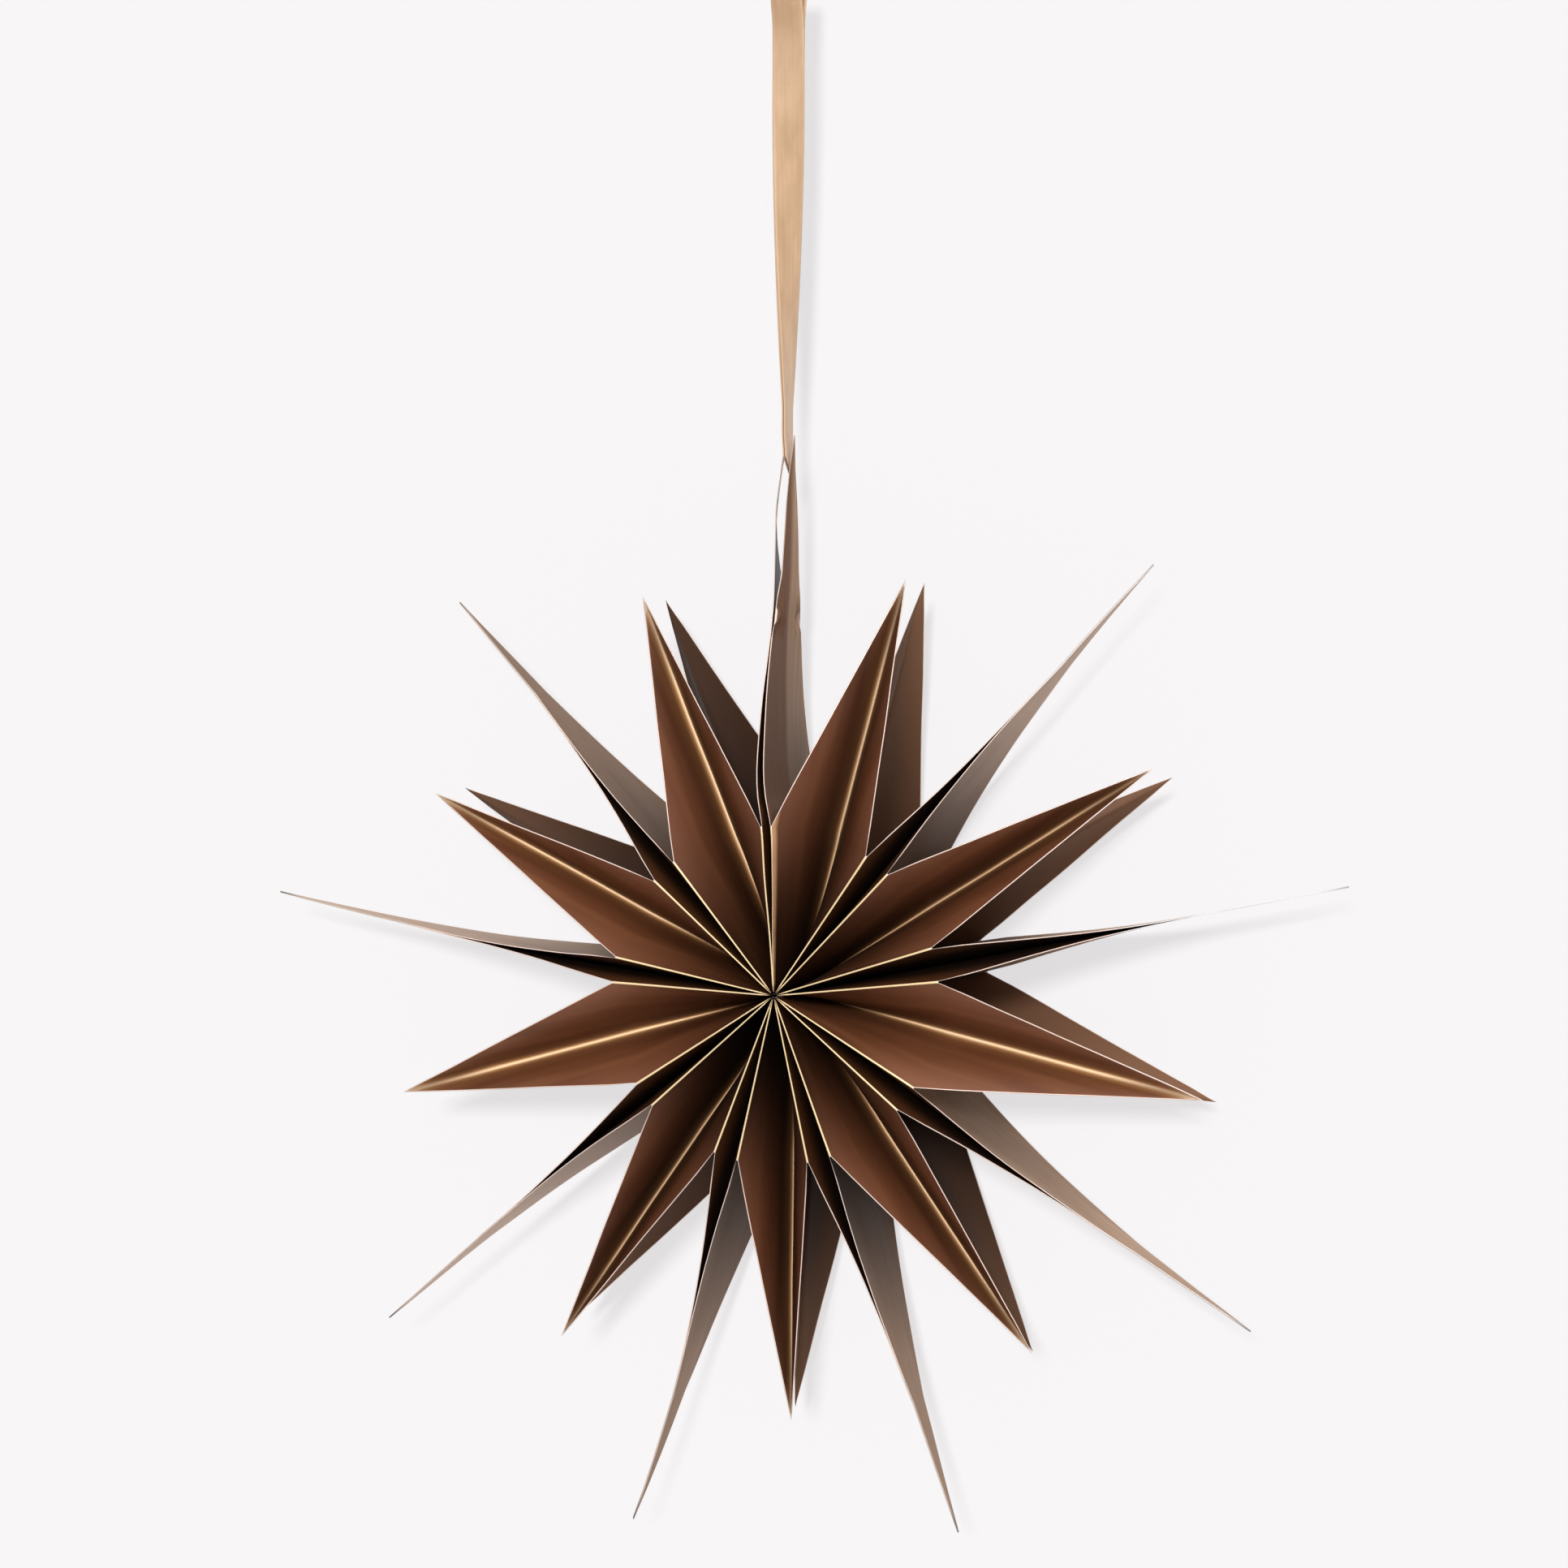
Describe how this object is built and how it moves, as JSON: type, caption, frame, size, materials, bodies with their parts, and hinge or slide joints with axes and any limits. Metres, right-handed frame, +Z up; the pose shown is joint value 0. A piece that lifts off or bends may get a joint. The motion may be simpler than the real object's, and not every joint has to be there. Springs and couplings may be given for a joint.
{
  "type": "hanging folded paper star",
  "caption": "Folded and cut paper star of gusseted paper bags fanned into a full circle, with long middle points and short front and back points, hung from a flat ribbon loop.",
  "frame": {"origin": "inside top of the ribbon's hanging loop, where a hook carries it", "axes": "+Z up along the ribbon, -Y towards the front of the star, whose own axis runs along Y; the star's middle is 404 mm below the origin and 5.8 mm towards +X"},
  "size_m": [0.431, 0.088, 0.6144],
  "materials": {
    "brown_paper": "satin, smooth outside and matte inside",
    "tan_ribbon": "woven satin"
  },
  "bodies": {
    "root": {"paper_bag_1": "brown_paper", "paper_bag_2": "brown_paper", "paper_bag_3": "brown_paper", "paper_bag_4": "brown_paper", "paper_bag_5": "brown_paper", "paper_bag_6": "brown_paper", "paper_bag_7": "brown_paper", "paper_bag_8": "brown_paper", "paper_bag_9": "brown_paper", "ribbon": "tan_ribbon"}
  },
  "joints": []
}
